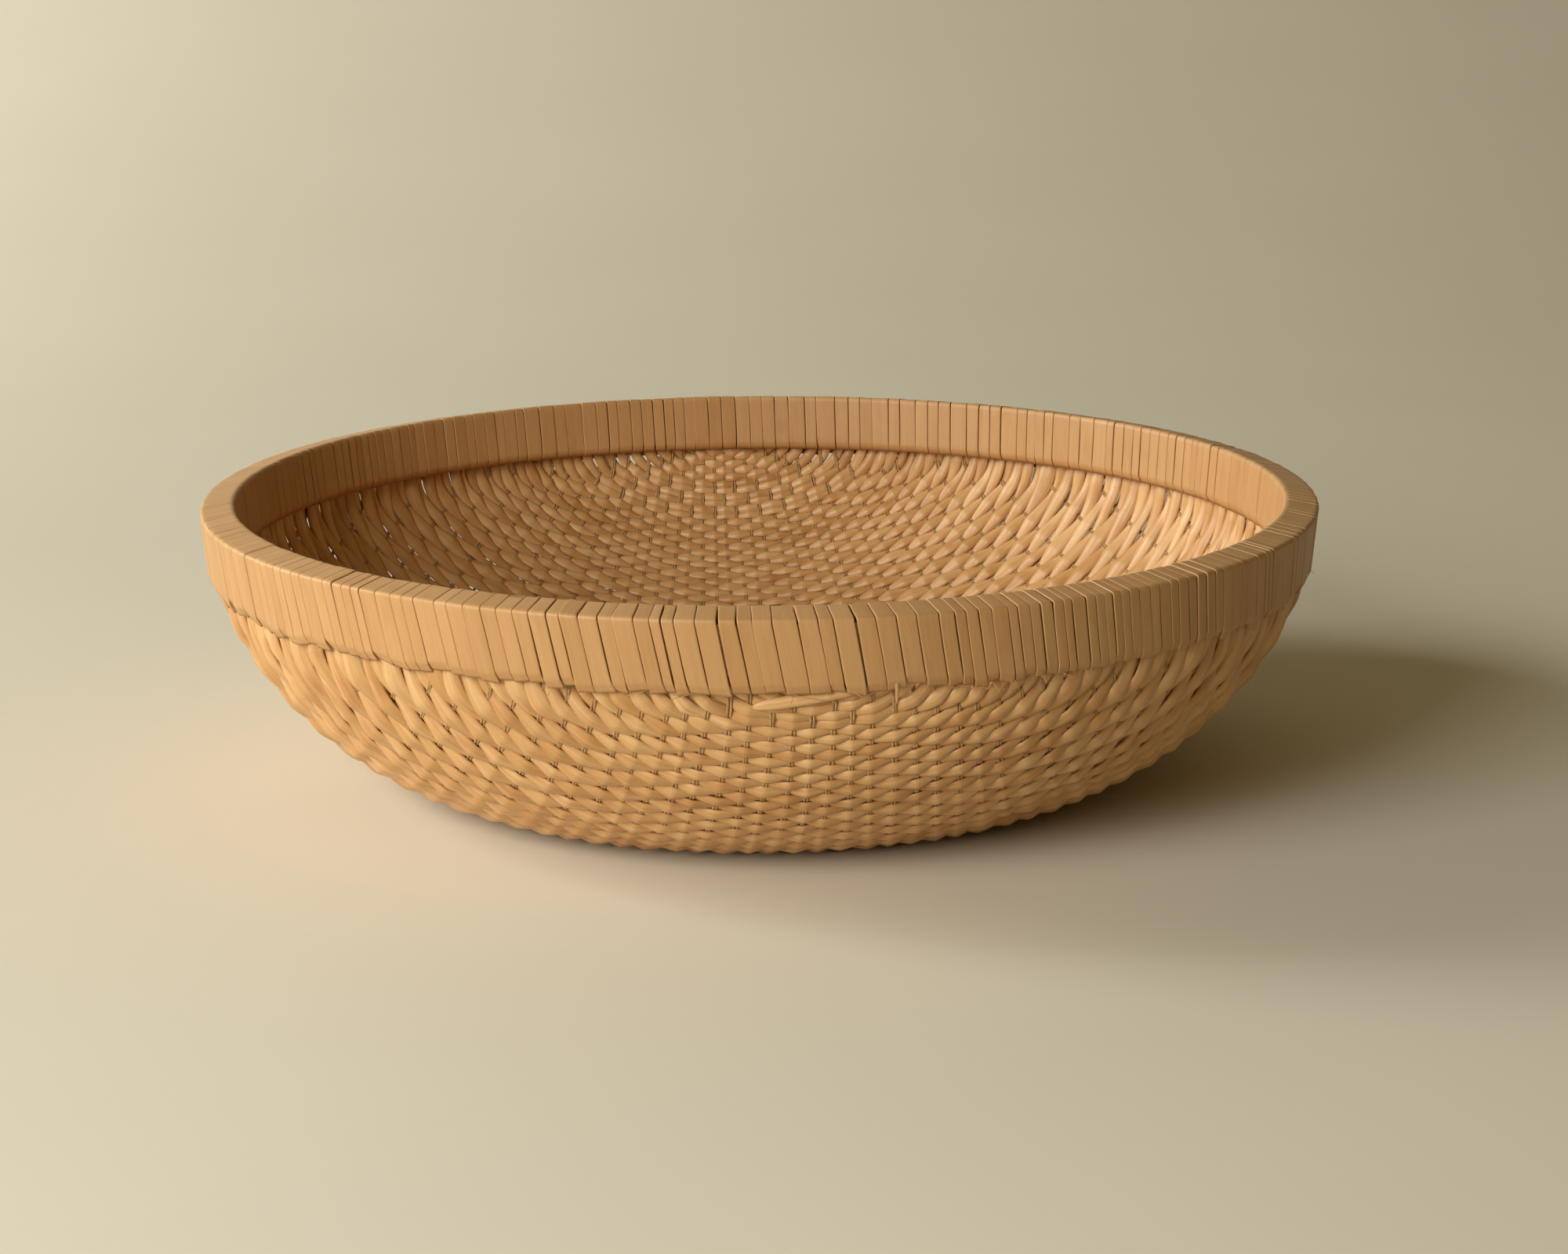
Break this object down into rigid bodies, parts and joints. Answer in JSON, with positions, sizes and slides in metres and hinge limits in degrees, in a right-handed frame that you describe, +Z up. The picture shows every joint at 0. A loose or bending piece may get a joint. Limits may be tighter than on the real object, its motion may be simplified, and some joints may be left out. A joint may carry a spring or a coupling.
{
  "type": "willow bowl basket",
  "caption": "Shallow round bowl basket of peeled willow rods bound with cords, with a wide rim wrapped in flat willow strips.",
  "frame": {"origin": "centre of the base, on the surface that the basket stands on", "axes": "+X along the willow rods, +Y along the warp cords from front to back, +Z up out of the bowl"},
  "size_m": [0.48, 0.48, 0.1217],
  "materials": {
    "willow_rod": "peeled, satin",
    "willow_strip": "shaved flat, satin",
    "hoop_wood": "bent wood, plain",
    "hemp_cord": "two-ply, matt"
  },
  "bodies": {
    "root": {"back_wall_rods_01": "willow_rod", "back_wall_rods_02": "willow_rod", "back_wall_rods_03": "willow_rod", "back_wall_rods_04": "willow_rod", "back_wall_rods_05": "willow_rod", "back_wall_rods_06": "willow_rod", "back_wall_rods_07": "willow_rod", "back_wall_rods_08": "willow_rod", "back_wall_rods_09": "willow_rod", "back_wall_rods_10": "willow_rod", "back_wall_rods_11": "willow_rod", "back_wall_rods_12": "willow_rod", "floor_rods_01": "willow_rod", "floor_rods_02": "willow_rod", "floor_rods_03": "willow_rod", "floor_rods_04": "willow_rod", "floor_rods_05": "willow_rod", "floor_rods_06": "willow_rod", "floor_rods_07": "willow_rod", "floor_rods_08": "willow_rod", "floor_rods_09": "willow_rod", "floor_rods_10": "willow_rod", "floor_rods_11": "willow_rod", "floor_rods_12": "willow_rod", "floor_rods_13": "willow_rod", "floor_rods_14": "willow_rod", "floor_rods_15": "willow_rod", "floor_rods_16": "willow_rod", "floor_rods_17": "willow_rod", "front_wall_rods_01": "willow_rod", "front_wall_rods_02": "willow_rod", "front_wall_rods_03": "willow_rod", "front_wall_rods_04": "willow_rod", "front_wall_rods_05": "willow_rod", "front_wall_rods_06": "willow_rod", "front_wall_rods_07": "willow_rod", "front_wall_rods_08": "willow_rod", "front_wall_rods_09": "willow_rod", "front_wall_rods_10": "willow_rod", "rim_hoop_inner": "hoop_wood", "rim_hoop_outer": "hoop_wood", "rim_wrapping_01": "willow_strip", "rim_wrapping_02": "willow_strip", "rim_wrapping_03": "willow_strip", "rim_wrapping_04": "willow_strip", "rim_wrapping_05": "willow_strip", "rim_wrapping_06": "willow_strip", "rim_wrapping_07": "willow_strip", "rim_wrapping_08": "willow_strip", "rim_wrapping_09": "willow_strip", "warp_cords_01": "hemp_cord", "warp_cords_02": "hemp_cord", "warp_cords_03": "hemp_cord", "warp_cords_04": "hemp_cord", "warp_cords_05": "hemp_cord"}
  },
  "joints": []
}
